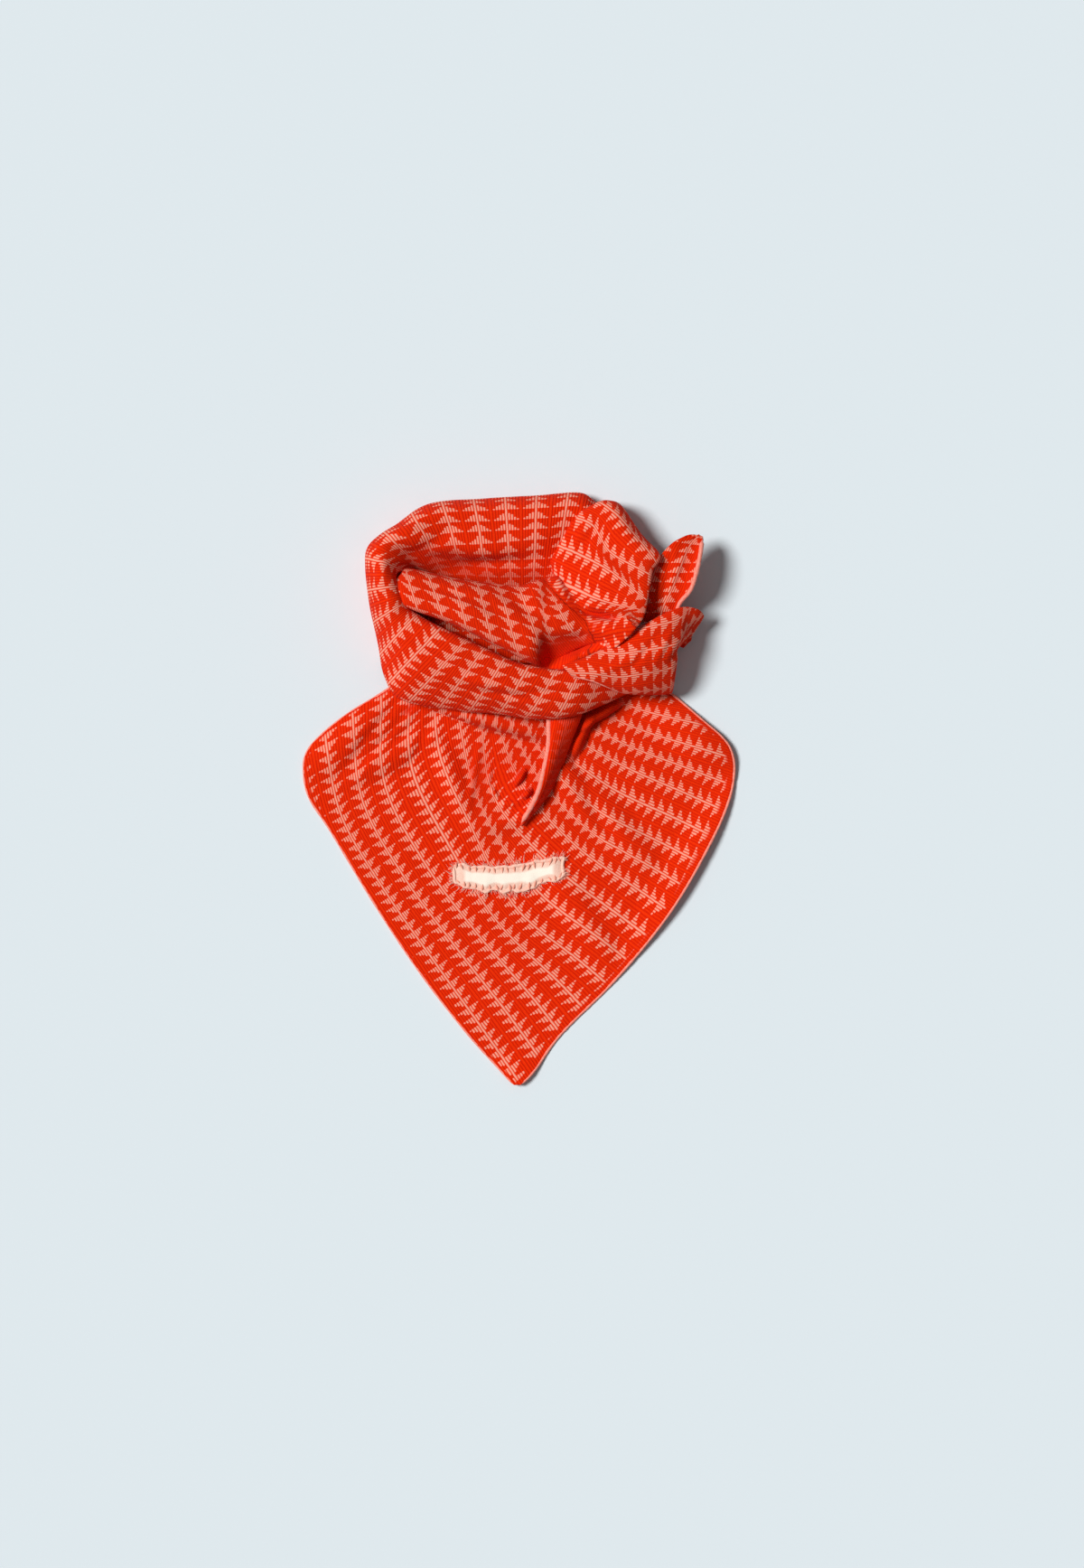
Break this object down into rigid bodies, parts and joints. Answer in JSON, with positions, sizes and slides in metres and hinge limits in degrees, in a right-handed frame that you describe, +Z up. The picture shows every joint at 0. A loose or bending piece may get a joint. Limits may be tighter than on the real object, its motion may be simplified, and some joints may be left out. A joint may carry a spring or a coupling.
{
  "type": "wool scarf",
  "caption": "Knitted wool neckerchief wound into a soft collar with knotted tails and a pointed bib, lying flat as if just taken off.",
  "frame": {"origin": "on the surface that the scarf lies on, under the middle of its outline", "axes": "+X across the bib to the wearer's left, +Y from the point of the bib to the neck opening, +Z up from the surface"},
  "size_m": [0.3048, 0.4187, 0.0537],
  "materials": {
    "knit": "matte fine wool jacquard knit, red ground with pink triangles",
    "woven_label": "matte woven cotton tape, cream"
  },
  "bodies": {
    "root": {"bib": "knit", "label": "woven_label", "collar_wrap": "knit", "inner_wrap": "knit", "side_wrap": "knit", "upper_tail": "knit", "hanging_tail": "knit", "throat_fold": "knit", "under_layers": "knit"}
  },
  "joints": []
}
